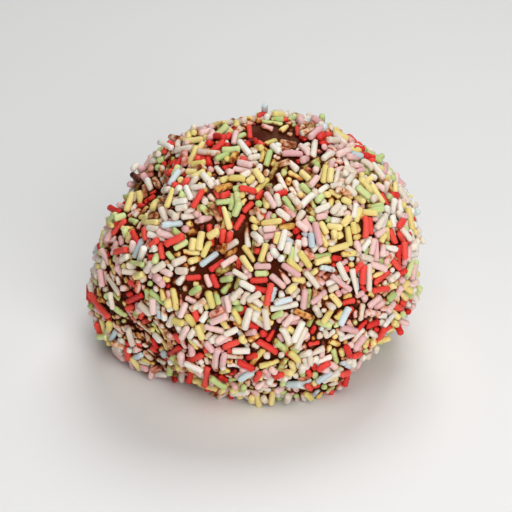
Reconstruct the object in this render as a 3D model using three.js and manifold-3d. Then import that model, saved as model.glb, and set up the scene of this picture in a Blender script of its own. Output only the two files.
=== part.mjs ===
// A bakery rum ball: a soft truffle mass dipped in dark chocolate, slumped onto a flat base while it was
// warm, and rolled in sugar strands. It is one piece, so the strands are fused to the ball they stick to.
// Millimetres. +Z is up, +X the right, -Y the front, and the origin is the middle of the flat base.

import * as THREE from "three";
import { mergeVertices } from "three/addons/utils/BufferGeometryUtils.js";
import Module from "manifold-3d";

// The ball before it slumps: half of its width, depth and height, and the height of its middle
// above the base. The base cuts off whatever would hang lower.
const HALF_SIZE = new THREE.Vector3(31.2, 30.2, 27);
const MIDDLE_HEIGHT = 20;
const BALL_DETAIL = 8;

// Where the soft mass was pushed out (plus) or pressed in (minus), and how far around that spot.
// Azimuth runs from the front towards the right, and rise from the waist upwards, both in degrees.
// Where a spot is bare, no strand stuck to the chocolate within that distance of it.
const LUMPS = [
  { spot: "foot, front", azimuth: 0, rise: -35, reach: 20, push: -0.4 },
  { spot: "foot, front right", azimuth: 45, rise: -35, reach: 20, push: 0.4 },
  { spot: "foot, right", azimuth: 90, rise: -35, reach: 20, push: 0.2 },
  { spot: "foot, back right", azimuth: 135, rise: -35, reach: 20, push: 2 },
  { spot: "foot, back", azimuth: 180, rise: -35, reach: 20, push: 1.4 },
  { spot: "foot, back left", azimuth: 225, rise: -35, reach: 20, push: 2 },
  { spot: "foot, left", azimuth: 270, rise: -35, reach: 20, push: 2.4 },
  { spot: "foot, front left", azimuth: 315, rise: -35, reach: 20, push: -1.6 },
  { spot: "toe", azimuth: 30, rise: -42, reach: 9, push: 1 },
  { spot: "undercut, right", azimuth: 62, rise: -36, reach: 12, push: -2.6 },
  { spot: "hollow, low left", azimuth: 320, rise: -14, reach: 12, push: -1.6 },
  { spot: "flat, upper left", azimuth: 255, rise: 25, reach: 20, push: -3.6 },
  { spot: "dip behind the crown", azimuth: 208, rise: 57, reach: 15, push: -3.4 },
  { spot: "waist, left", azimuth: 272, rise: 8, reach: 12, push: -0.3 },
  { spot: "cheek, right", azimuth: 87, rise: -4, reach: 14, push: -1.7 },
  { spot: "shoulder, right", azimuth: 113, rise: 34, reach: 16, push: -0.2 },
  { spot: "bulge, upper right", azimuth: 60, rise: 45, reach: 16, push: 1.4 },
  { spot: "bulge, left", azimuth: 326, rise: 24, reach: 12, push: 2 },
  { spot: "bulge, upper left", azimuth: 323, rise: 52, reach: 12, push: 1.8 },
  { spot: "bulge, back", azimuth: 150, rise: 14, reach: 16, push: 1.4 },
  { spot: "thumb mark, back", azimuth: 186, rise: 16, reach: 12, push: -2.2 },
  { spot: "bulge, back left", azimuth: 222, rise: -4, reach: 14, push: 1.2 },
  { spot: "crease, left", azimuth: 293, rise: 44, reach: 9, push: -2.6 },
  { spot: "dimple, right", azimuth: 22, rise: 19, reach: 7, push: -1.6 },
  { spot: "bare crown", azimuth: 72, rise: 82, reach: 8, push: -1.8, bare: 3.4 },
  { spot: "bare, upper right", azimuth: 30, rise: 62, reach: 8, push: -2.2, bare: 2.8 },
  { spot: "bare, centre", azimuth: 350, rise: 38, reach: 11, push: -2.4, bare: 4 },
  { spot: "foot, left corner", azimuth: 300, rise: -40, reach: 9, push: 1.4 },
  { spot: "foot, left of the toe", azimuth: 335, rise: -48, reach: 11, push: -1.2 },
  { spot: "notch, right", azimuth: 68, rise: -28, reach: 8, push: -2.4 },
  { spot: "lip over the notch", azimuth: 80, rise: -17, reach: 7, push: 1 },
  { spot: "toe, right", azimuth: 44, rise: -42, reach: 8, push: 0.2 },
  { spot: "flat, high on the left", azimuth: 229, rise: 48, reach: 12, push: -1.7 },
  { spot: "flat, left shoulder", azimuth: 252, rise: 28, reach: 9, push: -1.2 },
  { spot: "flat, back right", azimuth: 135, rise: 50, reach: 13, push: -0.5 },
  { spot: "belly, left", azimuth: 284, rise: -20, reach: 11, push: 1.2 },
];

// The sugar strands: short extruded rods with their ends broken off square. The longest ones are spread
// evenly over the ball, each lying on the chocolate at its own angle and sunk in by part of its thickness.
const STRAND_RADIUS = 0.6;
const STRAND_LENGTHS = { shortest: 3, longest: 4.6 };
const STRAND_SIDES = 6;
const STRAND_LIFT = 0.28; // of a strand's axis above the chocolate
const STRAND_SPOTS = 250;
const STRAND_SPREAD = 0.35; // how far a spot strays, as a share of the distance to the next
const STRAND_GAP = 0.5; // at least, between strands and above the base
const ANGLES_TRIED = 12;
const SEED = 20;

const wasm = await Module();
wasm.setup();

function solidOf(geometry) {
  const shape = geometry.clone();
  shape.deleteAttribute("normal");
  shape.deleteAttribute("uv");
  const merged = mergeVertices(shape);
  const vertProperties = new Float32Array(merged.attributes.position.array);
  const triVerts = new Uint32Array(merged.index.array);
  return new wasm.Manifold(new wasm.Mesh({ numProp: 3, vertProperties, triVerts }));
}

function geometryOf(solid) {
  const { vertProperties, triVerts } = solid.getMesh();
  const geometry = new THREE.BufferGeometry();
  geometry.setAttribute("position", new THREE.BufferAttribute(vertProperties, 3));
  geometry.setIndex(new THREE.BufferAttribute(triVerts, 1));
  geometry.computeVertexNormals();
  return geometry;
}

// Evenly spread numbers from 0 to 1 that are the same on every run.
function seededRandom(seed) {
  let state = seed;
  return () => {
    state = (state + 0x6d2b79f5) | 0;
    let mixed = Math.imul(state ^ (state >>> 15), 1 | state);
    mixed = (mixed + Math.imul(mixed ^ (mixed >>> 7), 61 | mixed)) ^ mixed;
    return ((mixed ^ (mixed >>> 14)) >>> 0) / 2 ** 32;
  };
}

function towards(azimuth, rise) {
  const turn = THREE.MathUtils.degToRad(azimuth);
  const lift = THREE.MathUtils.degToRad(rise);
  return new THREE.Vector3(
    Math.sin(turn) * Math.cos(lift),
    -Math.cos(turn) * Math.cos(lift),
    Math.sin(lift),
  );
}

// The point of the lumpy ball that a direction from its middle leads to, measured from that middle.
// Each lump works on what the lumps before it have left.
function pressedPoint(direction, lumps) {
  const point = direction.clone().multiply(HALF_SIZE);
  for (const lump of lumps) {
    const nearness = 1 - point.distanceTo(lump.centre) / lump.reach;
    point.addScaledVector(lump.outward, lump.push * THREE.MathUtils.smoothstep(nearness, 0, 1));
  }
  return point;
}

function placedLumps() {
  const placed = [];
  for (const lump of LUMPS) {
    const outward = towards(lump.azimuth, lump.rise);
    placed.push({ ...lump, outward, centre: pressedPoint(outward, placed) });
  }
  return placed;
}

const lumps = placedLumps();

function makeBall() {
  const geometry = new THREE.IcosahedronGeometry(1, BALL_DETAIL);
  const positions = geometry.attributes.position;
  const direction = new THREE.Vector3();
  for (let i = 0; i < positions.count; i++) {
    direction.fromBufferAttribute(positions, i).normalize();
    positions.setXYZ(i, ...pressedPoint(direction, lumps));
  }
  geometry.translate(0, 0, MIDDLE_HEIGHT);
  const below = new THREE.BoxGeometry(4 * HALF_SIZE.x, 4 * HALF_SIZE.y, 2 * HALF_SIZE.z);
  below.translate(0, 0, -HALF_SIZE.z);
  return solidOf(geometry).subtract(solidOf(below));
}

// Directions spread evenly over the ball along a spiral from its crown to its base.
function spiralDirection(index, count, random) {
  const spacing = Math.sqrt((4 * Math.PI) / count);
  const height = 1 - (2 * index + 1) / count;
  const turn = index * Math.PI * (3 - Math.sqrt(5));
  const around = Math.sqrt(1 - height * height);
  const direction = new THREE.Vector3(around * Math.cos(turn), around * Math.sin(turn), height);
  const stray = new THREE.Vector3(random() - 0.5, random() - 0.5, random() - 0.5);
  return direction.addScaledVector(stray, 2 * STRAND_SPREAD * spacing).normalize();
}

function outwardNormal(direction) {
  const step = 0.02;
  const side = new THREE.Vector3(0, 0, 1).cross(direction).normalize();
  const rise = direction.clone().cross(side);
  const here = pressedPoint(direction, lumps);
  const aside = pressedPoint(direction.clone().addScaledVector(side, step).normalize(), lumps);
  const above = pressedPoint(direction.clone().addScaledVector(rise, step).normalize(), lumps);
  return aside.sub(here).cross(above.sub(here)).normalize();
}

function axisPoints({ middle, along, length }) {
  const shares = [-0.5, -0.25, 0, 0.25, 0.5];
  return shares.map((share) => middle.clone().addScaledVector(along, share * length));
}

// The gap between two strands, from points along both of their axes.
function gapBetween(one, other) {
  const others = axisPoints(other);
  const distances = axisPoints(one).flatMap((point) => others.map((end) => point.distanceTo(end)));
  return Math.min(...distances) - 2 * STRAND_RADIUS;
}

function lowestPoint(strand) {
  return strand.middle.z - Math.abs(strand.along.z) * (strand.length / 2) - STRAND_RADIUS;
}

function strandAt(direction, random) {
  const normal = outwardNormal(direction);
  const middle = pressedPoint(direction, lumps).addScaledVector(normal, STRAND_LIFT);
  middle.z += MIDDLE_HEIGHT;
  const across = new THREE.Vector3(0, 0, 1).cross(normal).normalize();
  const along = across.applyAxisAngle(normal, 2 * Math.PI * random());
  const { shortest, longest } = STRAND_LENGTHS;
  return { middle, along, length: THREE.MathUtils.lerp(shortest, longest, random()) };
}

function onBarePatch(direction) {
  const point = pressedPoint(direction, lumps);
  return lumps.some((lump) => lump.bare && point.distanceTo(lump.centre) < lump.bare);
}

function layStrands(random) {
  const laid = [];
  for (let spot = 0; spot < STRAND_SPOTS; spot++) {
    const direction = spiralDirection(spot, STRAND_SPOTS, random);
    if (onBarePatch(direction)) continue;
    for (let attempt = 0; attempt < ANGLES_TRIED; attempt++) {
      const strand = strandAt(direction, random);
      const free = laid.every((other) => gapBetween(strand, other) > STRAND_GAP);
      if (free && lowestPoint(strand) > STRAND_GAP) {
        laid.push(strand);
        break;
      }
    }
  }
  return laid;
}

function placedStrand({ middle, along, length }) {
  const turn = new THREE.Quaternion().setFromUnitVectors(new THREE.Vector3(0, 1, 0), along);
  const geometry = new THREE.CylinderGeometry(STRAND_RADIUS, STRAND_RADIUS, length, STRAND_SIDES);
  geometry.applyQuaternion(turn);
  return solidOf(geometry.translate(...middle));
}

const strands = layStrands(seededRandom(SEED)).map(placedStrand);
const fused = strands.reduce((solid, strand) => solid.add(strand), makeBall());

const chocolate = new THREE.MeshStandardMaterial({ color: 0x4a2a1e, roughness: 0.5, metalness: 0 });
const rumBall = new THREE.Mesh(geometryOf(fused), chocolate);
rumBall.name = "rum_ball";

const part = new THREE.Group();
part.add(rumBall);

export default part;
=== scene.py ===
"""A bakery rum ball: soft truffle mass dipped in dark chocolate, slumped, and rolled in sugar strands."""

import math

import bmesh
import bpy
import numpy as np
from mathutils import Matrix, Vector, noise
from mathutils.bvhtree import BVHTree
from mathutils.kdtree import KDTree


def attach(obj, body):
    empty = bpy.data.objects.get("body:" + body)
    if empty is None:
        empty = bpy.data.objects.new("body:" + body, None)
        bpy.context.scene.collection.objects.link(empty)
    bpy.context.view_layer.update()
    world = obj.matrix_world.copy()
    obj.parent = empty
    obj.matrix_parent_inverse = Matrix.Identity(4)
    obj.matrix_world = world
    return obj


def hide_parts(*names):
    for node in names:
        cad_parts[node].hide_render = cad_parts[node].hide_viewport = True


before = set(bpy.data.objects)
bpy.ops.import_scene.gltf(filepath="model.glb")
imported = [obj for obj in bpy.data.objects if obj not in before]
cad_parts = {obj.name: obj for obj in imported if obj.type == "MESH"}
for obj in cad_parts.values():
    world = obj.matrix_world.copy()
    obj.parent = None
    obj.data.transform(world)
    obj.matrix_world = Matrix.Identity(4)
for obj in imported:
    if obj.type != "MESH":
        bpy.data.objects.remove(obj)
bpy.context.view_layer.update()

# Lengths are in millimetres and angles in degrees, and MM turns a length into metres. Points closer
# together than TOUCHING count as one, TINY keeps a division by nothing from failing, and a direction
# counts as upright if it rises more than NEARLY_UPRIGHT of its length.
MM = 0.001
TOUCHING = 0.01
TINY = 1e-9
NEARLY_UPRIGHT = 0.9
SEED = 40
rng = np.random.default_rng(SEED)

# The dipped ball. It lies a little inside the solid that it replaces, and the strands make up the
# difference. The strands under the ball lift its flat base off the table.
SOLID_HALF_SIZE = (31.2, 30.2, 27.0)
INSET = 0.9
MIDDLE_HEIGHT = 20.0
BASE_LEVEL = 0.7
BASE_ROUNDING = {"width": 0.8, "steps": 3}
BALL_SUBDIVISIONS = 6
DENTS = {"width": 5.0, "depth": 0.9}

# Where the soft mass was pushed out (plus) or pressed in (minus), and how far around that spot.
# Azimuth runs from the front towards the right, and rise from the waist upwards.
LUMPS = (
    {"spot": "foot, front", "azimuth": 0, "rise": -35, "reach": 20, "push": -0.4},
    {"spot": "foot, front right", "azimuth": 45, "rise": -35, "reach": 20, "push": 0.4},
    {"spot": "foot, right", "azimuth": 90, "rise": -35, "reach": 20, "push": 0.2},
    {"spot": "foot, back right", "azimuth": 135, "rise": -35, "reach": 20, "push": 2.0},
    {"spot": "foot, back", "azimuth": 180, "rise": -35, "reach": 20, "push": 1.4},
    {"spot": "foot, back left", "azimuth": 225, "rise": -35, "reach": 20, "push": 2.0},
    {"spot": "foot, left", "azimuth": 270, "rise": -35, "reach": 20, "push": 2.4},
    {"spot": "foot, front left", "azimuth": 315, "rise": -35, "reach": 20, "push": -1.6},
    {"spot": "toe", "azimuth": 30, "rise": -42, "reach": 9, "push": 1.0},
    {"spot": "undercut, right", "azimuth": 62, "rise": -36, "reach": 12, "push": -2.6},
    {"spot": "hollow, low left", "azimuth": 320, "rise": -14, "reach": 12, "push": -1.6},
    {"spot": "flat, upper left", "azimuth": 255, "rise": 25, "reach": 20, "push": -3.6},
    {"spot": "dip behind the crown", "azimuth": 208, "rise": 57, "reach": 15, "push": -3.4},
    {"spot": "waist, left", "azimuth": 272, "rise": 8, "reach": 12, "push": -0.3},
    {"spot": "cheek, right", "azimuth": 87, "rise": -4, "reach": 14, "push": -1.7},
    {"spot": "shoulder, right", "azimuth": 113, "rise": 34, "reach": 16, "push": -0.2},
    {"spot": "bulge, upper right", "azimuth": 60, "rise": 45, "reach": 16, "push": 1.4},
    {"spot": "bulge, left", "azimuth": 326, "rise": 24, "reach": 12, "push": 2.0},
    {"spot": "bulge, upper left", "azimuth": 323, "rise": 52, "reach": 12, "push": 1.8},
    {"spot": "bulge, back", "azimuth": 150, "rise": 14, "reach": 16, "push": 1.4},
    {"spot": "thumb mark, back", "azimuth": 186, "rise": 16, "reach": 12, "push": -2.2},
    {"spot": "bulge, back left", "azimuth": 222, "rise": -4, "reach": 14, "push": 1.2},
    {"spot": "crease, left", "azimuth": 293, "rise": 44, "reach": 9, "push": -2.6},
    {"spot": "dimple, right", "azimuth": 22, "rise": 19, "reach": 7, "push": -1.6},
    {"spot": "bare crown", "azimuth": 72, "rise": 82, "reach": 8, "push": -1.8},
    {"spot": "bare, upper right", "azimuth": 30, "rise": 62, "reach": 8, "push": -2.2},
    {"spot": "bare, centre", "azimuth": 350, "rise": 38, "reach": 11, "push": -2.4},
    {"spot": "foot, left corner", "azimuth": 300, "rise": -40, "reach": 9, "push": 1.4},
    {"spot": "foot, left of the toe", "azimuth": 335, "rise": -48, "reach": 11, "push": -1.2},
    {"spot": "notch, right", "azimuth": 68, "rise": -28, "reach": 8, "push": -2.4},
    {"spot": "lip over the notch", "azimuth": 80, "rise": -17, "reach": 7, "push": 1.0},
    {"spot": "toe, right", "azimuth": 44, "rise": -42, "reach": 8, "push": 0.2},
    {"spot": "flat, high on the left", "azimuth": 229, "rise": 48, "reach": 12, "push": -1.7},
    {"spot": "flat, left shoulder", "azimuth": 252, "rise": 28, "reach": 9, "push": -1.2},
    {"spot": "flat, back right", "azimuth": 135, "rise": 50, "reach": 13, "push": -0.5},
    {"spot": "belly, left", "azimuth": 284, "rise": -20, "reach": 11, "push": 1.2},
)

# Where the coat is thinner or thicker than elsewhere: how far around that spot, and how many strands
# stuck there, as a share of the usual. Where few did, the bare chocolate shows and the strands are
# sunk in it. Close to a spot that is kept clear, only strands that stand out in the photograph lie.
COAT_SPOTS = (
    {"spot": "bare crown", "azimuth": 110, "rise": 85, "reach": 7.5, "share": 0.02, "clear": 4.6},
    {"spot": "bare behind the crown", "azimuth": 330, "rise": 86, "reach": 4.0, "share": 0.2},
    {"spot": "bare, upper right", "azimuth": 30, "rise": 62, "reach": 4.6, "share": 0.2},
    {"spot": "bare, centre", "azimuth": 350, "rise": 38, "reach": 4.2, "share": 0.3, "clear": 1.6},
    {"spot": "heaped, left of the centre", "azimuth": 325, "rise": 30, "reach": 13, "share": 1.3},
    {"spot": "gap, left", "azimuth": 305, "rise": 38, "reach": 3.4, "share": 0.3},
    {"spot": "gap, right of the centre", "azimuth": 20, "rise": 43, "reach": 2.2, "share": 0.4},
    {"spot": "gap in the dimple", "azimuth": 22, "rise": 19, "reach": 2.2, "share": 0.4},
    {"spot": "crease, left", "azimuth": 293, "rise": 44, "reach": 5.5, "share": 0.25},
    {"spot": "thumb mark, back", "azimuth": 186, "rise": 16, "reach": 3.6, "share": 0.3},
    # These two smear and thin the coat at the low left, partly as real chocolate smears and partly as
    # painted shade, for that side lies away from the light.
    {"spot": "smeared, with painted shade, low left", "azimuth": 318, "rise": -12, "reach": 5.5, "share": 0.49},
    {"spot": "smeared, with painted shade, foot on the left", "azimuth": 322, "rise": -38, "reach": 7.5, "share": 0.48},
    {"spot": "thin, left", "azimuth": 285, "rise": 5, "reach": 30, "share": 0.78},
    {"spot": "thin, low at the front", "azimuth": 335, "rise": -22, "reach": 20, "share": 0.82},
    {"spot": "thin, low on the right", "azimuth": 60, "rise": -28, "reach": 15, "share": 0.62},
    {"spot": "heaped, below the centre", "azimuth": 0, "rise": 0, "reach": 9, "share": 1.35},
    {"spot": "heaped, right", "azimuth": 85, "rise": 25, "reach": 24, "share": 1.5},
)

# A spot has its whole effect within a third of its reach, and SPOT_FADE is how steeply that then fades.
# Strands at a bare spot are sunk by up to SUNK_DEPTH. One with less than BARE_SHARE smears those nearby.
SPOT_FADE = 1.5
SUNK_DEPTH = 0.35
BARE_SHARE = 0.5

# Everywhere else the coat is patchy: how wide the patches are, how much thicker or thinner it is in
# them, and where in the noise they are read.
PATCHES = {"width": 6.0, "strength": 0.4, "start": (83, 38, 32)}

# The sugar strands: extruded, dried and broken into short rods. These are the sizes of the model
# strand. Its end zones keep their length when it is stretched, its rings are drawn in to RING_DEPTH of
# its radius, and its flattened skin keeps a margin.
STRAND_RADIUS = 0.62
STRAND_LENGTH = 3.0
STRAND_SIDES = 8
END_ZONE = 0.42
RING_DEPTH = 0.83
RIM_STEPS = {"plain": 2, "ringed": 1}
SKIN_MARGIN = 0.04

# As shares of the model strand's half length: how far out its rings are, where it is cut so that it can
# bend, and what counts as its middle; then how far along it each change of its form reaches.
LEVELS = {"rings": 0.52, "cuts": 0.3, "middle": 0.31}
REACHES = {"bend": 1.3, "waist": 1.0, "taper": 1.6, "slant": 0.5}

# Each real strand has its own length and thickness and an uneven skin. The axis that it is settled by
# stops short of both its ends, by END_REACH of its radius.
STRAND_COUNT = 4520
LENGTHS = {"shortest": 1.1, "usual": 2.7, "spread": 0.85, "longest": 5.0}
THICKNESS_SPREAD = 0.07
UNEVENNESS = 0.022
END_REACH = 0.6
SHORTEST_AXIS = 0.2

# How a strand sits: the share of strands, how much higher its outer end is than its inner one as a share
# of its length, and the height of its lower end's axis above the chocolate.
SEATS = (
    {"manner": "lying", "share": 0.56, "slope": (-0.12, 0.12), "low": (0.15, 0.35)},
    {"manner": "tilted", "share": 0.26, "slope": (0.3, 0.6), "low": (-0.5, 0.1)},
    {"manner": "standing", "share": 0.18, "slope": (0.75, 0.98), "low": (-2.4, -1.4)},
)

# Strands that stand out in the photograph, each by the two pixels where its ends are seen in the 512 by
# 512 picture. Its axis is at the height given, above the chocolate, or at the usual one. One that seems
# to run far back round the edge is no longer than SEEN_LONGEST. A line of sight is followed in steps no
# shorter than SIGHT_STEP, until it is within SIGHT_ERROR of that height.
SEEN_HEIGHT = 0.6
SEEN_LONGEST = 7.5
SIGHT_STEP = 0.05
SIGHT_ERROR = 0.02
SEEN = (
    {"mark": "nub", "colour": "pink", "ends": ((132, 174), (139, 181)), "height": 1.2, "smear": 0.8},
    {"mark": "nub", "colour": "white", "ends": ((132, 171), (139, 165)), "height": 1.6},
    {"mark": "nub", "colour": "pink", "ends": ((138, 171), (145, 168))},
    {
        "mark": "left edge",
        "colour": "red",
        "ends": ((91, 292), (109, 316)),
        "form": "bent",
        "height": 1.1,
    },
    {"mark": "left edge", "colour": "yellow", "ends": ((102, 319), (107, 340))},
    {"mark": "left edge", "colour": "green", "ends": ((89, 305), (95, 309))},
    {"mark": "left edge", "colour": "red", "ends": ((110, 207), (121, 212))},
    {"mark": "left side", "colour": "white", "ends": ((107, 275), (120, 295))},
    {"mark": "left side", "colour": "red", "ends": ((128, 302), (143, 295))},
    {"mark": "left side", "colour": "red", "ends": ((161, 243), (163, 259))},
    {"mark": "left side", "colour": "red", "ends": ((113, 235), (126, 220))},
    {"mark": "left side", "colour": "blue", "ends": ((143, 239), (134, 258))},
    {"mark": "left side", "colour": "green", "ends": ((174, 249), (188, 241))},
    {"mark": "left side", "colour": "yellow", "ends": ((173, 288), (177, 310))},
    {"mark": "crown", "colour": "blue", "ends": ((265, 112), (265, 105))},
    {"mark": "crown", "colour": "green", "ends": ((322, 122), (322, 115))},
    {"mark": "crown", "colour": "red", "ends": ((257, 117), (267, 113))},
    {"mark": "crown", "colour": "red", "ends": ((249, 126), (250, 139)), "height": 0.4},
    {"mark": "crown", "colour": "pink", "ends": ((261, 126), (273, 130)), "height": 0.4},
    {"mark": "crown", "colour": "yellow", "ends": ((280, 132), (288, 126)), "height": 0.4},
    {"mark": "crown", "colour": "red", "ends": ((257, 142), (263, 146)), "height": 0.4},
    {"mark": "crown", "colour": "yellow", "ends": ((265, 145), (276, 141)), "height": 0.4},
    {"mark": "crown", "colour": "green", "ends": ((270, 151), (266, 166))},
    {"mark": "crown", "colour": "pink", "ends": ((282, 155), (303, 156)), "form": "bent"},
    {"mark": "crown", "colour": "red", "ends": ((297, 127), (298, 136)), "height": 0.4},
    {"mark": "crown", "colour": "red", "ends": ((300, 137), (306, 141)), "height": 0.4},
    {"mark": "crown", "colour": "white", "ends": ((315, 141), (313, 157))},
    {"mark": "crown", "colour": "red", "ends": ((320, 144), (332, 142))},
    {"mark": "crown", "colour": "blue", "ends": ((302, 122), (314, 122))},
    {"mark": "centre", "colour": "white", "ends": ((247, 222), (248, 248))},
    {"mark": "centre", "colour": "blue", "ends": ((218, 253), (200, 266)), "height": 0.5, "smear": 0.3},
    {"mark": "centre", "colour": "yellow", "ends": ((237, 248), (224, 259)), "height": 0.3, "smear": 0.6},
    {"mark": "centre", "colour": "yellow", "ends": ((243, 246), (254, 262)), "smear": 0.3},
    {"mark": "centre", "colour": "red", "ends": ((209, 270), (224, 260))},
    {"mark": "centre", "colour": "red", "ends": ((244, 215), (235, 230))},
    {"mark": "centre", "colour": "red", "ends": ((253, 202), (243, 212))},
    {"mark": "centre", "colour": "pink", "ends": ((272, 260), (289, 284))},
    {"mark": "centre", "colour": "pink", "ends": ((270, 275), (285, 288))},
    {"mark": "centre", "colour": "red", "ends": ((186, 278), (201, 277))},
    {"mark": "centre", "colour": "red", "ends": ((212, 274), (218, 288))},
    {"mark": "centre", "colour": "red", "ends": ((250, 281), (268, 280))},
    {"mark": "centre", "colour": "green", "ends": ((222, 293), (236, 277))},
    {"mark": "star", "colour": "white", "ends": ((242, 304), (248, 292)), "height": 1.1},
    {"mark": "star", "colour": "white", "ends": ((247, 301), (261, 293)), "height": 1.5},
    {"mark": "star", "colour": "white", "ends": ((253, 299), (262, 306)), "height": 1.1},
    {"mark": "below the star", "colour": "white", "ends": ((270, 309), (298, 304))},
    {"mark": "right side", "colour": "red", "ends": ((364, 216), (364, 238)), "height": 1.2},
    {"mark": "right side", "colour": "red", "ends": ((369, 217), (371, 235))},
    {
        "mark": "right side",
        "colour": "white",
        "ends": ((352, 269), (357, 295)),
        "form": "spiked",
        "height": 1.2,
    },
    {"mark": "right side", "colour": "red", "ends": ((374, 284), (389, 272))},
    {"mark": "right side", "colour": "red", "ends": ((389, 229), (395, 244))},
    {"mark": "right side", "colour": "red", "ends": ((397, 232), (404, 246))},
    {"mark": "right side", "colour": "yellow", "ends": ((329, 250), (348, 245)), "height": 1.2},
    {"mark": "right side", "colour": "yellow", "ends": ((347, 226), (350, 246))},
    {"mark": "right edge", "colour": "white", "ends": ((418, 236), (425, 243))},
    {"mark": "right edge", "colour": "blue", "ends": ((411, 214), (420, 211))},
    {"mark": "right edge", "colour": "white", "ends": ((412, 295), (418, 302))},
    {"mark": "right edge", "colour": "pink", "ends": ((399, 321), (409, 324))},
    {"mark": "right edge", "colour": "red", "ends": ((397, 323), (402, 334))},
    {"mark": "bottom", "colour": "red", "ends": ((381, 332), (391, 325))},
    {"mark": "bottom", "colour": "red", "ends": ((189, 360), (202, 354))},
    {"mark": "bottom", "colour": "red", "ends": ((171, 354), (180, 347))},
    {"mark": "bottom", "colour": "red", "ends": ((153, 338), (157, 348))},
    {"mark": "bottom", "colour": "red", "ends": ((208, 367), (206, 383))},
    {"mark": "bottom", "colour": "red", "ends": ((223, 348), (240, 341))},
    {"mark": "bottom", "colour": "white", "ends": ((232, 351), (250, 351)), "height": 1.2},
    {"mark": "bottom", "colour": "red", "ends": ((277, 325), (267, 341))},
    {"mark": "bottom", "colour": "red", "ends": ((257, 341), (277, 353))},
    {"mark": "bottom", "colour": "yellow", "ends": ((259, 366), (279, 360))},
    {"mark": "bottom", "colour": "yellow", "ends": ((321, 395), (317, 404)), "smear": 0.3},
    {"mark": "bottom", "colour": "blue", "ends": ((317, 390), (311, 398))},
    {"mark": "bottom", "colour": "white", "ends": ((301, 395), (304, 405))},
)

# Settling: the strands start scattered in a thick cloud round the ball, then sink onto it and push each
# other aside until they lie beside and on one another. Those whose axes nearly meet are pushed outwards.
# One that still cuts into another by more than MOST_OVERLAP, or that stays too high, is left out.
CLOUD_HEIGHT = 2.2
SETTLE_STEPS = 260
SETTLE_REFRESH = 10
SINK_STEP = 0.06
PUSH_SHARE = 0.45
MOST_MOVE = 0.3
MEETING = 0.05
MOST_OVERLAP = 0.3
MOST_HEIGHT = {"lower end": 1.9, "higher end": 2.7}

# The forms that the strands come in, and how common each is. Most red ones have a ringed skin.
STRAND_KINDS = (
    {"share": 0.3, "of_red": 0.1, "form": {"name": "straight", "rounding": 0.3}},
    {"share": 0.18, "of_red": 0.08, "form": {"name": "domed", "rounding": 0.42, "bend": 0.08}},
    {"share": 0.16, "of_red": 0.08, "form": {"name": "bowed", "rounding": 0.34, "bend": 0.22}},
    {"share": 0.04, "of_red": 0.02, "form": {"name": "bent", "rounding": 0.32, "bend": 0.45}},
    {
        "share": 0.1,
        "of_red": 0.05,
        "form": {"name": "pinched", "rounding": 0.34, "waist": 0.88, "slant": 8},
    },
    {
        "share": 0.11,
        "of_red": 0.07,
        "form": {"name": "cut_askew", "rounding": 0.26, "slant": 18, "bend": 0.1},
    },
    {
        "share": 0.05,
        "of_red": 0.02,
        "form": {"name": "tapered", "rounding": 0.34, "taper": 0.66, "bend": 0.12},
    },
    {"share": 0.01, "of_red": 0.0, "form": {"name": "spiked", "rounding": 0.2, "taper": 0.3}},
    {
        "share": 0.05,
        "of_red": 0.58,
        "form": {"name": "ringed", "rounding": 0.32, "rings": 3, "bend": 0.1},
    },
)

# How common each colour of strand is, and its palest and deepest shade. A strand's tint is where it lies
# between the two, and the mottling of its skin adds to it.
TINTS = (-0.3, 0.8)
MOTTLE_SHARE = 0.5
COLOURS = {
    "white": {"share": 0.345, "pale": "FAF4E8", "deep": "E8D9C6"},
    "pink": {"share": 0.215, "pale": "FADAD2", "deep": "E6B4B4"},
    "red": {"share": 0.11, "pale": "FA5C4E", "deep": "E2342E"},
    "green": {"share": 0.11, "pale": "DCE8A6", "deep": "BCD086"},
    "yellow": {"share": 0.195, "pale": "FDE8A3", "deep": "E9D781"},
    "blue": {"share": 0.025, "pale": "DCE9EC", "deep": "C2D2D8"},
}

# The colours come in loose clusters: how wide these are, how strongly a colour gathers in its own, and
# how far apart in the noise each colour reads.
CLUSTERS = {"width": 4.0, "strength": 3.2, "apart": 60.0}

# The skin of the strands: how wide its patterns are, how far from its middle a speck ends and how
# strongly it stains, and how rough and how deep the grain is.
SUGAR_WIDTHS = {"mottle": 0.9, "grain": 0.22, "smear": 1.3, "specks": 1.6}
SPECK = {"From Min": 0.06, "From Max": 0.12, "To Min": 0.35, "To Max": 0.0}
SUGAR_ROUGHNESS = {"To Min": 0.42, "To Max": 0.62}
SUGAR_BUMP = {"Strength": 0.35, "Distance": 0.05 * MM}

# The chocolate: its colours, how wide its patterns are, where the bloom shows, and how rough and how
# deep the grain is.
CHOCOLATE = {"deep": "48190A", "bloom": "5E3522", "gloss": "D8A080"}
CHOCOLATE_WIDTHS = {"bloom": 4.0, "grain": 0.7}
BLOOM = {"From Min": 0.45, "From Max": 0.7}
CHOCOLATE_ROUGHNESS = {"To Min": 0.3, "To Max": 0.55}
CHOCOLATE_BUMP = {"Strength": 0.6, "Distance": 0.25 * MM}

# Chocolate on the strands: the heights above the ball below which a strand is darkened in full and above
# which not at all, partly a real chocolate film and partly painted shade on its low parts between the
# others; how far from the bare patches the strands are smeared, how much they are there and anywhere, how
# rare much of it is, and the most there is. Then how much makes a film, and its colours from none to
# thick, which paint both the stain and that painted shade.
STAIN_AND_SHADE_HEIGHT = (-0.1, 1.2)
DIRT_REACH = 4.0
DIRT = {"near": 0.7, "anywhere": 0.6}
DIRT_RARITY = {"near": 2, "anywhere": 7}
MOST_DIRT = 0.55
FILM_AND_SHADE = {"From Min": 0.86, "From Max": 1.3}
STAIN_AND_SHADE_COLOURS = ((0.0, "FFFFFF"), (0.3, "F0BA90"), (0.6, "964A22"), (1.0, "361208"))

# The mix node's sockets for colours, which share their names with its sockets for numbers.
MIX = {"first": 6, "second": 7, "result": 2}

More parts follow.
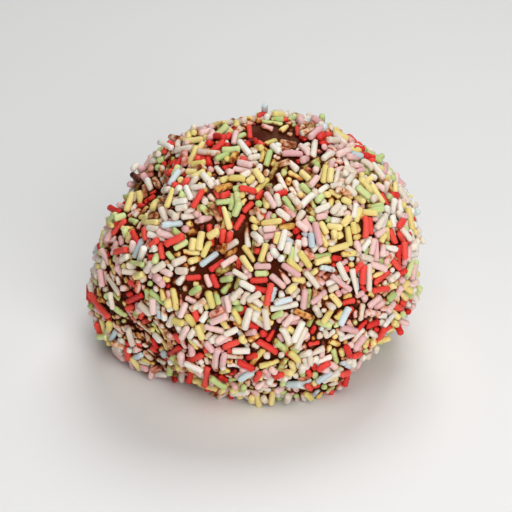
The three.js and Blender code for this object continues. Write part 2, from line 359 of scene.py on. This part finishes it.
# A pale card under the ball, a faint sky, and lamps that all aim at the ball's middle.
FLOOR = {"width": 3000, "dull": "F8F8F7", "bright": "FBFBFA", "fibre": 40}
SKY = {"hex": "FFFFFF", "strength": 0.05}
LIGHTS = (
    {"name": "key, front right", "azimuth": 18, "rise": 28, "watts": 1.25},
    {"name": "over the camera", "azimuth": 4, "rise": 56, "watts": 0.74},
    {"name": "from above, behind", "azimuth": 165, "rise": 62, "watts": 1.24},
)
LIGHT_DISTANCE = 500
LIGHT_WIDTH = 300

# The camera looks at the middle of the ball from the front and above, and sees it as wide as it is in the
# photograph.
VIEW_RISE = 30
VIEW_DISTANCE = 380
BALL_WIDTH = 66
BALL_PIXELS = 342
PIXEL_SIZE = BALL_WIDTH / BALL_PIXELS
PICTURE_PIXELS = 512
SENSOR_WIDTH = 36
NEAREST_SEEN = 10


def towards(azimuth, rise):
    """The direction at an angle from the front towards the right, and at one from level upwards."""
    turn, lift = math.radians(azimuth), math.radians(rise)
    return np.array((math.sin(turn) * math.cos(lift), -math.cos(turn) * math.cos(lift), math.sin(lift)))


MIDDLE = np.array((0, 0, MIDDLE_HEIGHT))
TO_CAMERA = towards(0, VIEW_RISE)
EYE = MIDDLE + TO_CAMERA * VIEW_DISTANCE
PICTURE_RIGHT = towards(90, 0)
PICTURE_UP = towards(180, 90 - VIEW_RISE)


def vertex_places(piece):
    places = np.empty(3 * len(piece.data.vertices))
    piece.data.vertices.foreach_get("co", places)
    return places.reshape(-1, 3)


def start_piece(name, add_primitive, **sizes):
    bpy.ops.object.select_all(action="DESELECT")
    add_primitive(**sizes)
    piece = bpy.context.object
    piece.name = name
    piece.data.name = name
    bpy.ops.object.mode_set(mode="EDIT")
    bpy.ops.mesh.select_all(action="DESELECT")
    return piece


def select(piece, wanted):
    """Selects the wanted vertices of the piece in hand, and the edges and faces between them."""
    bpy.ops.mesh.select_all(action="DESELECT")
    shape = bmesh.from_edit_mesh(piece.data)
    for vertex in shape.verts:
        vertex.select_set(bool(wanted(vertex)))
    shape.select_flush(True)
    bmesh.update_edit_mesh(piece.data)


def model_dipped_ball():
    """The ball in its chocolate: a round one that is squashed, pressed into lumps and cut flat below."""
    ball = start_piece(
        "dipped_ball",
        bpy.ops.mesh.primitive_ico_sphere_add,
        subdivisions=BALL_SUBDIVISIONS,
        radius=1,
    )
    directions = vertex_places(ball)
    bpy.ops.mesh.select_all(action="SELECT")
    bpy.ops.transform.resize(value=(np.array(SOLID_HALF_SIZE) - INSET) * MM)
    for lump in LUMPS:
        outward = towards(lump["azimuth"], lump["rise"])
        nearest = int((directions @ outward).argmax())
        select(ball, lambda vertex: vertex.index == nearest)
        bpy.ops.transform.translate(
            value=outward * lump["push"] * MM,
            use_proportional_edit=True,
            proportional_edit_falloff="SMOOTH",
            proportional_size=lump["reach"] * MM,
        )
    bpy.ops.mesh.select_all(action="SELECT")
    bpy.ops.transform.translate(value=(0, 0, MIDDLE_HEIGHT * MM))
    bpy.ops.object.mode_set(mode="OBJECT")
    dents = bpy.data.textures.new("dents", type="CLOUDS")
    dents.noise_scale = DENTS["width"] * MM
    bpy.ops.object.modifier_add(type="DISPLACE")
    denting = ball.modifiers[-1]
    denting.texture = dents
    denting.texture_coords = "LOCAL"
    denting.strength = DENTS["depth"] * MM
    bpy.ops.object.modifier_apply(modifier=denting.name)
    bpy.ops.object.mode_set(mode="EDIT")
    bpy.ops.mesh.select_all(action="SELECT")
    bpy.ops.mesh.bisect(
        plane_co=(0, 0, BASE_LEVEL * MM),
        plane_no=(0, 0, 1),
        use_fill=True,
        clear_inner=True,
        threshold=TOUCHING * MM,
    )
    select(ball, lambda vertex: vertex.co.z < (BASE_LEVEL + TOUCHING) * MM)
    bpy.ops.mesh.bevel(offset=BASE_ROUNDING["width"] * MM, segments=BASE_ROUNDING["steps"])
    bpy.ops.object.mode_set(mode="OBJECT")
    bpy.ops.object.shade_smooth()
    return ball


def coat_thickness(points, spots):
    """How thick the coat is at each point, as a share of the usual."""
    patchy = [noise.noise(Vector(point) / PATCHES["width"]) for point in points + PATCHES["start"]]
    thickness = np.maximum(1 + PATCHES["strength"] * np.array(patchy), 0)
    for place, spot in zip(spots, COAT_SPOTS):
        distance = np.linalg.norm(points - place, axis=1)
        nearness = np.clip(SPOT_FADE - SPOT_FADE * distance / spot["reach"], 0, 1)
        thickness *= 1 + nearness * (spot["share"] - 1)
    return thickness


def scatter(ball, count, spots):
    """Random places on the ball, more of them where the coat is thick, and the outward direction there."""
    ball.data.calc_loop_triangles()
    places = vertex_places(ball) / MM
    corners = np.array([triangle.vertices for triangle in ball.data.loop_triangles])
    first, second, third = (places[corners[:, i]] for i in range(3))
    across = np.cross(second - first, third - first)
    area = np.linalg.norm(across, axis=1)
    wanted = area * coat_thickness((first + second + third) / 3, spots)
    chosen = rng.choice(len(area), size=count, p=wanted / wanted.sum())
    share = np.sqrt(rng.random((count, 1)))
    slide = rng.random((count, 1))
    opposite = (1 - slide) * second[chosen] + slide * third[chosen]
    points = (1 - share) * first[chosen] + share * opposite
    return points, across[chosen] / area[chosen][:, None]


def perpendicular(directions):
    helper = np.where(np.abs(directions[:, 2:]) < NEARLY_UPRIGHT, (0, 0, 1), (1, 0, 0))
    side = np.cross(directions, helper)
    return side / np.linalg.norm(side, axis=1, keepdims=True)


def seen_at(pixel, height, surface):
    """The point seen at a pixel that is at a height above the chocolate, or that comes nearest to it."""
    across = (pixel[0] - PICTURE_PIXELS / 2) * PIXEL_SIZE
    above = (PICTURE_PIXELS / 2 - pixel[1]) * PIXEL_SIZE
    sight = MIDDLE + PICTURE_RIGHT * across + PICTURE_UP * above - EYE
    sight /= np.linalg.norm(sight)
    travelled, nearest, best = 0.0, math.inf, EYE
    while nearest > SIGHT_ERROR and travelled < 2 * VIEW_DISTANCE:
        point = EYE + sight * travelled
        distance = abs(surface.find_nearest(Vector(point))[3] - height)
        if distance < nearest:
            nearest, best = distance, point
        travelled += max(distance, SIGHT_STEP)
    return best


def axis_span(length, radius):
    return np.maximum(length - 2 * END_REACH * radius, SHORTEST_AXIS)


def axis_ends(middle, along, span):
    half = along * span[:, None] / 2
    return np.stack((middle - half, middle + half), 1)


def lay_seen_strands(surface):
    """The strands that stand out in the photograph: their axes, sizes and the heights they stay at."""
    height = np.array([strand.get("height", SEEN_HEIGHT) for strand in SEEN])
    tips = np.array(
        [[seen_at(tip, high, surface) for tip in strand["ends"]] for strand, high in zip(SEEN, height)]
    )
    deep = (tips[:, 1] - tips[:, 0]) @ TO_CAMERA
    across = np.linalg.norm(tips[:, 1] - tips[:, 0] - deep[:, None] * TO_CAMERA, axis=1)
    deepest = np.sqrt(np.maximum(SEEN_LONGEST ** 2 - across ** 2, 0))
    excess = deep - np.clip(deep, -deepest, deepest)
    tips += np.maximum(np.stack((excess, -excess), 1), 0)[:, :, None] * TO_CAMERA
    length = np.linalg.norm(tips[:, 1] - tips[:, 0], axis=1)
    radius = np.full(len(SEEN), STRAND_RADIUS)
    span = axis_span(length, radius)
    along = (tips[:, 1] - tips[:, 0]) / length[:, None]
    ends = axis_ends(tips.mean(1), along, span)
    heights = np.stack((height, height), 1)
    return {"ends": ends, "radius": radius, "length": length, "span": span, "heights": heights}


def throw_strands(ball, spots):
    """Strands in a loose cloud round the ball: their axes, sizes and the heights they sink to."""
    count = STRAND_COUNT
    points, outward = scatter(ball, count, spots)
    bareness = np.clip(1 - coat_thickness(points, spots), 0, 1)
    length = rng.normal(LENGTHS["usual"], LENGTHS["spread"], count)
    length = np.clip(length, LENGTHS["shortest"], LENGTHS["longest"])
    radius = STRAND_RADIUS * rng.normal(1, THICKNESS_SPREAD, count)
    manner = rng.choice(len(SEATS), size=count, p=[seat["share"] for seat in SEATS])
    slope = np.array([rng.uniform(*SEATS[kind]["slope"]) for kind in manner])
    low = np.array([rng.uniform(*SEATS[kind]["low"]) for kind in manner]) - SUNK_DEPTH * bareness
    side = perpendicular(outward)
    turn = rng.uniform(0, 2 * math.pi, (count, 1))
    level = side * np.cos(turn) + np.cross(outward, side) * np.sin(turn)
    along = level * np.sqrt(1 - slope[:, None] ** 2) + outward * slope[:, None]
    span = axis_span(length, radius)
    rise = span * slope
    heights = np.stack((low + np.maximum(-rise, 0), low + np.maximum(rise, 0)), 1)
    lift = heights.mean(1) + rng.uniform(0, CLOUD_HEIGHT, count)
    ends = axis_ends(points + outward * lift[:, None], along, span)
    return {"ends": ends, "radius": radius, "length": length, "span": span, "heights": heights}


def nearest_on(surface, points):
    """For each point, the nearest point of the chocolate and the outward direction there."""
    found = [surface.find_nearest(Vector(point))[:2] for point in points.reshape(-1, 3)]
    feet, outward = (np.array([pair[i] for pair in found]) for i in range(2))
    return feet.reshape(points.shape), outward.reshape(points.shape)


def close_pairs(ends, reach):
    """The pairs of strands whose middles are within reach of each other."""
    middles = ends.mean(1)
    tree = KDTree(len(middles))
    for index, middle in enumerate(middles):
        tree.insert(middle, index)
    tree.balance()
    pairs = []
    for index, middle in enumerate(middles):
        others = (other for _, other, _ in tree.find_range(middle, reach))
        pairs.extend((index, other) for other in others if other > index)
    return np.array(pairs)


def row_dots(one, other):
    return np.einsum("ij,ij->i", one, other)


def nearest_shares(one, other):
    """How far along each strand of a pair, from 0 to 1, the two axes come nearest to each other."""
    along, across = one[:, 1] - one[:, 0], other[:, 1] - other[:, 0]
    offset = one[:, 0] - other[:, 0]
    long_one, long_other = row_dots(along, along), row_dots(across, across)
    shared = row_dots(along, across)
    off_one, off_other = row_dots(along, offset), row_dots(across, offset)
    turned = np.maximum(long_one * long_other - shared * shared, TINY)
    first = np.clip((shared * off_other - off_one * long_other) / turned, 0, 1)
    second = np.clip((shared * first + off_other) / long_other, 0, 1)
    first = np.clip((shared * second - off_one) / long_one, 0, 1)
    return first, second


def push_apart(strands, pairs, outward):
    """How the ends of strands that cut into each other move apart, and those that hide one that stands
    out move aside as the camera sees them, and how deep each pair cuts."""
    ends, radius = strands["ends"], strands["radius"]
    one, other = pairs[:, 0], pairs[:, 1]
    first, second = nearest_shares(ends[one], ends[other])
    on_one = ends[one, 0] + first[:, None] * (ends[one, 1] - ends[one, 0])
    on_other = ends[other, 0] + second[:, None] * (ends[other, 1] - ends[other, 0])
    apart = on_one - on_other
    nearer = -apart @ TO_CAMERA
    hides = (one < len(SEEN)) & (other >= len(SEEN)) & (nearer > 0)
    apart += TO_CAMERA * np.where(hides, nearer, 0)[:, None]
    distance = np.linalg.norm(apart, axis=1)
    overlap = radius[one] + radius[other] - distance
    hit = overlap > 0
    one, other, first, second = one[hit], other[hit], first[hit], second[hit]
    meeting = distance[hit] < MEETING
    direction = apart[hit] / np.maximum(distance[hit], TINY)[:, None]
    direction[meeting] = outward[one[meeting], 0]
    push = direction * (PUSH_SHARE * overlap[hit])[:, None]
    moves = np.zeros_like(ends)
    for strand, share, sign in ((one, first, 1), (other, second, -1)):
        weight = sign / ((1 - share) ** 2 + share ** 2)
        np.add.at(moves, (strand, 0), push * (weight * (1 - share))[:, None])
        np.add.at(moves, (strand, 1), push * (weight * share)[:, None])
    return moves, overlap


def settle(strands, surface, spots):
    """Sinks the strands onto the chocolate, ever more gently, while they push each other aside."""
    reach = LENGTHS["longest"] + 2 * STRAND_RADIUS
    radius = strands["radius"]
    held = np.arange(len(radius)) < len(SEEN)
    for step in range(SETTLE_STEPS):
        ends = strands["ends"]
        if step % SETTLE_REFRESH == 0:
            feet, outward = nearest_on(surface, ends)
            pairs = close_pairs(ends, reach)
        press = SINK_STEP * min(1, 2 - 2 * step / SETTLE_STEPS)
        height = np.einsum("ijk,ijk->ij", ends - feet, outward)
        sink = np.where(held[:, None], 0, np.maximum(strands["heights"] - height, -press))
        strands["ends"] = ends + outward * sink[:, :, None]
        moves, overlap = push_apart(strands, pairs, outward)
        moves[held] = 0
        ends = strands["ends"] + np.clip(moves, -MOST_MOVE, MOST_MOVE)
        middle = ends.mean(1)
        along = ends[:, 1] - ends[:, 0]
        along /= np.linalg.norm(along, axis=1, keepdims=True)
        half = along * strands["span"][:, None] / 2
        steep = np.abs(along[:, 2])
        level = np.sqrt(1 - np.minimum(steep, 1) ** 2)
        lowest = radius * (level + END_REACH * steep) + np.abs(half[:, 2])
        middle[:, 2] = np.maximum(middle[:, 2], lowest)
        strands["ends"] = np.stack((middle - half, middle + half), 1)
    unfit = (height.min(1) > MOST_HEIGHT["lower end"]) | (height.max(1) > MOST_HEIGHT["higher end"])
    unfit[pairs[overlap > MOST_OVERLAP, 1]] = True
    for place, spot in zip(spots, COAT_SPOTS):
        unfit |= np.linalg.norm(ends.mean(1) - place, axis=1) < spot.get("clear", 0)
    for name, values in strands.items():
        strands[name] = values[held | ~unfit]
    strands["feet"], strands["outward"] = nearest_on(surface, strands["ends"])


def select_level(strand, level):
    select(strand, lambda vertex: abs(vertex.co.z - level) < TOUCHING * MM)


def model_strand(name, rounding, bend=0.0, waist=1.0, taper=1.0, slant=0.0, rings=0):
    """One strand, along Z about the origin: a rod with rounded rims that can be bent, pinched, tapered,
    cut askew or ringed."""
    strand = start_piece(
        name,
        bpy.ops.mesh.primitive_cylinder_add,
        vertices=STRAND_SIDES,
        radius=STRAND_RADIUS * MM,
        depth=STRAND_LENGTH * MM,
        end_fill_type="NGON",
    )
    half = STRAND_LENGTH / 2 * MM
    for end in (-half, half):
        select_level(strand, end)
        bpy.ops.mesh.bevel(offset=rounding * MM, segments=RIM_STEPS["ringed" if rings else "plain"])
    cuts = (-LEVELS["cuts"], LEVELS["cuts"])
    if rings:
        cuts = np.linspace(-LEVELS["rings"], LEVELS["rings"], 2 * rings - 1)
    for share in cuts:
        bpy.ops.mesh.select_all(action="SELECT")
        bpy.ops.mesh.bisect(plane_co=(0, 0, share * half), plane_no=(0, 0, 1), threshold=TOUCHING * MM)
    unwrap_strand(strand)
    for share in np.linspace(-LEVELS["rings"], LEVELS["rings"], rings):
        select_level(strand, share * half)
        bpy.ops.transform.resize(value=(RING_DEPTH, RING_DEPTH, 1))
    smooth = {"use_proportional_edit": True, "proportional_edit_falloff": "SMOOTH"}
    reach = {change: {"proportional_size": share * half, **smooth} for change, share in REACHES.items()}
    select(strand, lambda vertex: abs(vertex.co.z) < LEVELS["middle"] * half)
    bpy.ops.transform.translate(value=(bend * MM, 0, 0), **reach["bend"])
    bpy.ops.transform.resize(value=(waist, waist, 1), **reach["waist"])
    select_level(strand, half)
    top = {"center_override": (0, 0, half)}
    bpy.ops.transform.resize(value=(taper, taper, 1), **top, **reach["taper"])
    bpy.ops.transform.rotate(value=math.radians(slant), orient_axis="X", **top, **reach["slant"])
    bpy.ops.object.mode_set(mode="OBJECT")
    return strand


def unwrap_strand(strand):
    """Flattens the strand's skin into one strip and its two ends, for the colours painted on it."""
    shape = bmesh.from_edit_mesh(strand.data)
    for edge in shape.edges:
        at_end = any(len(face.verts) == STRAND_SIDES for face in edge.link_faces)
        behind = all(vertex.co.y > 0 and abs(vertex.co.x) < TOUCHING * MM for vertex in edge.verts)
        edge.seam = at_end or behind
    bmesh.update_edit_mesh(strand.data)
    bpy.ops.mesh.select_all(action="SELECT")
    bpy.ops.uv.unwrap(method="ANGLE_BASED", margin=SKIN_MARGIN)


def strand_arrays(strand):
    """The vertices, faces and flattened skin of a model strand, which is then no longer needed."""
    skin = np.empty(2 * len(strand.data.loops))
    strand.data.uv_layers.active.data.foreach_get("uv", skin)
    faces = [np.array(face.vertices) for face in strand.data.polygons]
    arrays = {"places": vertex_places(strand) / MM, "faces": faces, "skin": skin.reshape(-1, 2)}
    bpy.data.meshes.remove(strand.data)
    return arrays


def laid_out(model, strands, rows):
    """The model strand's vertices at the size and place of each strand in the rows, and their heights
    above the chocolate."""
    places = model["places"]
    half = strands["length"][rows, None] / 2
    straight = STRAND_LENGTH / 2 - END_ZONE
    reach = np.abs(places[:, 2])
    stretched = np.minimum(reach, straight) * (half - END_ZONE) / straight
    up = np.sign(places[:, 2]) * (stretched + np.maximum(reach - straight, 0))
    along = strands["ends"][rows, 1] - strands["ends"][rows, 0]
    along /= np.linalg.norm(along, axis=1, keepdims=True)
    side = perpendicular(along)
    roll = strands["roll"][rows, None]
    first = side * np.cos(roll) + np.cross(along, side) * np.sin(roll)
    second = np.cross(along, first)
    thick = (strands["radius"][rows] / STRAND_RADIUS)[:, None, None]
    around = first[:, None] * places[None, :, :1] + second[:, None] * places[None, :, 1:2]
    middle = strands["ends"][rows].mean(1)[:, None]
    laid = middle + thick * around + along[:, None] * up[:, :, None]
    laid += rng.normal(0, UNEVENNESS, laid.shape)
    laid[:, :, 2] += np.maximum(-laid[:, :, 2].min(1), 0)[:, None]
    share = (up / (2 * half) + 0.5)[:, :, None]
    foot, outward = (
        strands[name][rows, None, 0] * (1 - share) + strands[name][rows, None, 1] * share
        for name in ("feet", "outward")
    )
    height = np.einsum("ijk,ijk->ij", laid - foot, outward)
    return laid, height


def join_strands(name, models, strands, rows):
    """One mesh of all the strands of a colour, with a cell of the texture for each of them."""
    vertices, faces, skins, tints, cocoa_and_shade_values = [], [], [], [], []
    columns = math.ceil(math.sqrt(len(rows)))
    darkest_to, clear_from = STAIN_AND_SHADE_HEIGHT
    cell = 0
    first_vertex = 0
    for kind, model in enumerate(models):
        mine = rows[strands["kind"][rows] == kind]
        laid, height = laid_out(model, strands, mine)
        count = len(model["places"])
        # The lower a part of a strand lies, the darker it is made: partly a real chocolate film, partly
        # painted shade where it lies low between other strands.
        stain_and_shade = np.clip(1 - (height - darkest_to) / (clear_from - darkest_to), 0, 1)
        cocoa_and_shade_values.append(np.maximum(stain_and_shade, strands["dirt"][mine, None]).ravel())
        tints.append(np.repeat(strands["tint"][mine], count))
        vertices.append(laid.reshape(-1, 3))
        for _ in mine:
            faces.extend((face + first_vertex).tolist() for face in model["faces"])
            skins.append((model["skin"] + divmod(cell, columns)) / columns)
            first_vertex += count
            cell += 1
    mesh = bpy.data.meshes.new(name)
    mesh.from_pydata((np.concatenate(vertices) * MM).tolist(), [], faces)
    mesh.uv_layers.new(name="OFBake").data.foreach_set("uv", np.concatenate(skins).ravel())
    mesh.attributes.new("tint", "FLOAT", "POINT").data.foreach_set("value", np.concatenate(tints))
    mesh.attributes.new("cocoa_and_shade", "FLOAT", "POINT").data.foreach_set("value", np.concatenate(cocoa_and_shade_values))
    mesh.shade_smooth()
    piece = bpy.data.objects.new(name, mesh)
    bpy.context.collection.objects.link(piece)
    return piece


def linear(hex_colour):
    """An sRGB hex colour as the linear colour that shaders take."""
    channels = [int(hex_colour[i : i + 2], 16) / 255 for i in (0, 2, 4)]
    return tuple(c / 12.92 if c <= 0.04045 else ((c + 0.055) / 1.055) ** 2.4 for c in channels) + (1,)


def add(tree, kind, inputs=None, **settings):
    """Adds a node with its settings, and fills its inputs with values or with other nodes' outputs."""
    made = tree.nodes.new(kind)
    for name, value in settings.items():
        setattr(made, name, value)
    for name, value in (inputs or {}).items():
        if isinstance(value, bpy.types.NodeSocket):
            tree.links.new(value, made.inputs[name])
        else:
            made.inputs[name].default_value = value
    return made


def start_material(name):
    material = bpy.data.materials.new(name)
    material.use_nodes = True
    tree = material.node_tree
    tree.nodes.clear()
    places = add(tree, "ShaderNodeTexCoord").outputs["Object"]
    return material, tree, places


def finish_material(tree, surface):
    add(tree, "ShaderNodeOutputMaterial", {"Surface": surface.outputs["BSDF"]})


def per_metre(millimetres):
    return 1 / (millimetres * MM)


def pattern(tree, places, width, detail):
    """Cloudy noise with patches of a width."""
    inputs = {"Vector": places, "Scale": per_metre(width), "Detail": detail}
    return add(tree, "ShaderNodeTexNoise", inputs).outputs["Fac"]


def moved(tree, value, ranges, **settings):
    """The value, moved from one range into another."""
    return add(tree, "ShaderNodeMapRange", {"Value": value, **ranges}, **settings).outputs["Result"]


def mixed(tree, share, first, second, **settings):
    """The first colour, with the share of the second mixed in."""
    inputs = {"Factor": share, MIX["first"]: first, MIX["second"]: second}
    return add(tree, "ShaderNodeMix", inputs, data_type="RGBA", **settings).outputs[MIX["result"]]


def bumpy(tree, height, bump):
    return add(tree, "ShaderNodeBump", {"Height": height, **bump}).outputs["Normal"]


def added(tree, one, other):
    return add(tree, "ShaderNodeMath", {0: one, 1: other}, operation="ADD").outputs[0]


def sugar_strand_material(colour):
    """Pressed sugar with a little starch: matte and faintly see-through, each strand a slightly different
    shade, with a grainy skin, and chocolate stains where it touched wet chocolate, which also carry
    painted shade on the parts that lie low."""
    material, tree, places = start_material("sugar_strand_" + colour)
    pale, deep = linear(COLOURS[colour]["pale"]), linear(COLOURS[colour]["deep"])
    tint = add(tree, "ShaderNodeAttribute", attribute_name="tint").outputs["Fac"]
    cocoa_and_shade = add(tree, "ShaderNodeAttribute", attribute_name="cocoa_and_shade").outputs["Fac"]
    mottle = pattern(tree, places, SUGAR_WIDTHS["mottle"], detail=3.0)
    grain = pattern(tree, places, SUGAR_WIDTHS["grain"], detail=2.0)
    smear = pattern(tree, places, SUGAR_WIDTHS["smear"], detail=3.0)
    cells = {"Vector": places, "Scale": per_metre(SUGAR_WIDTHS["specks"])}
    specks = add(tree, "ShaderNodeTexVoronoi", cells).outputs["Distance"]
    shade = add(tree, "ShaderNodeMath", {0: mottle, 1: MOTTLE_SHARE, 2: tint}, operation="MULTIPLY_ADD")
    sugar = mixed(tree, shade.outputs[0], pale, deep)
    # The film's amount adds real smears and specks to the darkening of the strands' low parts, which is
    # partly painted shade.
    stain_and_shade_amount = added(tree, added(tree, smear, cocoa_and_shade), moved(tree, specks, SPECK))
    stain_and_shade = add(tree, "ShaderNodeValToRGB", {"Fac": moved(tree, stain_and_shade_amount, FILM_AND_SHADE)})
    shades = stain_and_shade.color_ramp.elements
    for position, _ in STAIN_AND_SHADE_COLOURS[1:-1]:
        shades.new(position)
    for shade_of_film, (_, hex_colour) in zip(shades, STAIN_AND_SHADE_COLOURS):
        shade_of_film.color = linear(hex_colour)
    surface = add(
        tree,
        "ShaderNodeBsdfPrincipled",
        {
            "Base Color": mixed(tree, 1.0, sugar, stain_and_shade.outputs["Color"], blend_type="MULTIPLY"),
            "Roughness": moved(tree, grain, SUGAR_ROUGHNESS),
            "Normal": bumpy(tree, grain, SUGAR_BUMP),
            "IOR": 1.5,
            "Specular IOR Level": 0.25,
            "Subsurface Weight": 0.35,
            "Subsurface Radius": (1.0, 0.55, 0.35),
            "Subsurface Scale": 0.45 * MM,
        },
    )
    finish_material(tree, surface)
    return material


def chocolate_material():
    """Dark chocolate that set by itself: near black brown with a soft gloss and a thin grey bloom."""
    material, tree, places = start_material("dark_chocolate")
    bloom = pattern(tree, places, CHOCOLATE_WIDTHS["bloom"], detail=5.0)
    grain = pattern(tree, places, CHOCOLATE_WIDTHS["grain"], detail=4.0)
    dusty = moved(tree, bloom, BLOOM, interpolation_type="SMOOTHSTEP")
    surface = add(
        tree,
        "ShaderNodeBsdfPrincipled",
        {
            "Base Color": mixed(tree, dusty, linear(CHOCOLATE["deep"]), linear(CHOCOLATE["bloom"])),
            "Roughness": moved(tree, grain, CHOCOLATE_ROUGHNESS),
            "Normal": bumpy(tree, grain, CHOCOLATE_BUMP),
            "IOR": 1.46,
            "Specular IOR Level": 0.07,
            "Specular Tint": linear(CHOCOLATE["gloss"]),
        },
    )
    finish_material(tree, surface)
    return material


def drawn_colours(places):
    """A colour for each strand, more often one that gathers around its place."""
    wanted = np.empty((len(places), len(COLOURS)))
    for index, colour in enumerate(COLOURS.values()):
        start = Vector((index * CLUSTERS["apart"], 0, 0))
        gathered = [noise.noise(Vector(place) / CLUSTERS["width"] + start) for place in places]
        wanted[:, index] = colour["share"] * np.exp(CLUSTERS["strength"] * np.array(gathered))
    reached = np.cumsum(wanted, axis=1) / wanted.sum(1, keepdims=True)
    return (rng.random((len(places), 1)) > reached).sum(1)


def drawn_kinds(share, count):
    return rng.choice(len(STRAND_KINDS), size=count, p=[kind[share] for kind in STRAND_KINDS])


def drawn_dirt(places, spots):
    """How much chocolate is smeared on each strand: most on and beside the bare patches, and at the low
    left partly as painted shade.
    """
    nearness = np.zeros(len(places))
    for place, spot in zip(spots, COAT_SPOTS):
        if spot["share"] < BARE_SHARE:
            beyond = np.linalg.norm(places - place, axis=1) - spot["reach"]
            nearness = np.maximum(nearness, np.clip(1 - beyond / DIRT_REACH, 0, 1))
    near = nearness * DIRT["near"] * rng.random(len(places)) ** DIRT_RARITY["near"]
    anywhere = DIRT["anywhere"] * rng.random(len(places)) ** DIRT_RARITY["anywhere"]
    return np.minimum(near + anywhere, MOST_DIRT)


def draw_looks(strands, spots):
    """Draws how each strand is turned, tinted, smeared (at the low left partly as painted shade), coloured
    and formed. Those that stand out in the photograph come first, and have the colour, smear and form seen
    there."""
    places = strands["ends"].mean(1)
    colours = list(COLOURS)
    strands["roll"] = rng.uniform(0, 2 * math.pi, len(places))
    strands["tint"] = rng.uniform(*TINTS, len(places))
    strands["dirt"] = drawn_dirt(places, spots)
    strands["dirt"][: len(SEEN)] = [strand.get("smear", 0) for strand in SEEN]
    strands["colour"] = drawn_colours(places)
    strands["colour"][: len(SEEN)] = [colours.index(strand["colour"]) for strand in SEEN]
    of_red = drawn_kinds("of_red", len(places))
    of_others = drawn_kinds("share", len(places))
    strands["kind"] = np.where(strands["colour"] == colours.index("red"), of_red, of_others)
    forms = [kind["form"]["name"] for kind in STRAND_KINDS]
    for index, strand in enumerate(SEEN):
        if "form" in strand:
            strands["kind"][index] = forms.index(strand["form"])


def coat_ball():
    """The dipped ball and its coat of strands, one piece for each of their colours."""
    ball = model_dipped_ball()
    ball.data.materials.append(chocolate_material())
    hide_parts("rum_ball")
    surface = BVHTree.FromPolygons(
        (vertex_places(ball) / MM).tolist(), [tuple(face.vertices) for face in ball.data.polygons]
    )
    spots = [
        np.array(surface.ray_cast(Vector(MIDDLE), Vector(towards(spot["azimuth"], spot["rise"])))[0])
        for spot in COAT_SPOTS
    ]
    seen = lay_seen_strands(surface)
    thrown = throw_strands(ball, spots)
    strands = {name: np.concatenate((seen[name], thrown[name])) for name in seen}
    settle(strands, surface, spots)
    draw_looks(strands, spots)
    models = [strand_arrays(model_strand(**kind["form"])) for kind in STRAND_KINDS]
    pieces = [ball]
    for index, colour in enumerate(COLOURS):
        rows = np.flatnonzero(strands["colour"] == index)
        piece = join_strands("strands_" + colour, models, strands, rows)
        piece.data.materials.append(sugar_strand_material(colour))
        pieces.append(piece)
    for piece in pieces:
        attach(piece, "root")


def floor_material():
    """A plain pale card: matte, near white."""
    material, tree, places = start_material("pale_card")
    fibre = pattern(tree, places, FLOOR["fibre"], detail=2.0)
    tone = mixed(tree, fibre, linear(FLOOR["dull"]), linear(FLOOR["bright"]))
    surface = add(tree, "ShaderNodeBsdfPrincipled", {"Base Color": tone, "Roughness": 0.8})
    finish_material(tree, surface)
    return material


def lay_floor():
    bpy.ops.object.select_all(action="DESELECT")
    bpy.ops.mesh.primitive_plane_add(size=FLOOR["width"] * MM)
    floor = bpy.context.object
    floor.name = "floor"
    floor.data.materials.append(floor_material())


def aim(piece, target):
    direction = Vector(target) - piece.location
    piece.rotation_euler = direction.to_track_quat("-Z", "Y").to_euler()


def set_lights():
    middle = Vector(MIDDLE * MM)
    for light in LIGHTS:
        lamp = bpy.data.lights.new(light["name"], "AREA")
        lamp.energy = light["watts"]
        lamp.size = LIGHT_WIDTH * MM
        holder = bpy.data.objects.new(light["name"], lamp)
        bpy.context.collection.objects.link(holder)
        outward = Vector(towards(light["azimuth"], light["rise"]))
        holder.location = middle + outward * LIGHT_DISTANCE * MM
        aim(holder, middle)
    world = bpy.data.worlds.new("studio")
    world.use_nodes = True
    background = world.node_tree.nodes["Background"]
    background.inputs["Color"].default_value = linear(SKY["hex"])
    background.inputs["Strength"].default_value = SKY["strength"]
    bpy.context.scene.world = world
    bpy.context.scene.view_settings.view_transform = "Standard"


def set_camera():
    lens = bpy.data.cameras.new("camera")
    lens.sensor_width = SENSOR_WIDTH
    lens.lens = SENSOR_WIDTH * VIEW_DISTANCE / (PIXEL_SIZE * PICTURE_PIXELS)
    lens.clip_start = NEAREST_SEEN * MM
    camera = bpy.data.objects.new("camera", lens)
    bpy.context.collection.objects.link(camera)
    camera.location = Vector(EYE * MM)
    aim(camera, MIDDLE * MM)
    bpy.context.scene.camera = camera


set_camera()
set_lights()
lay_floor()
coat_ball()
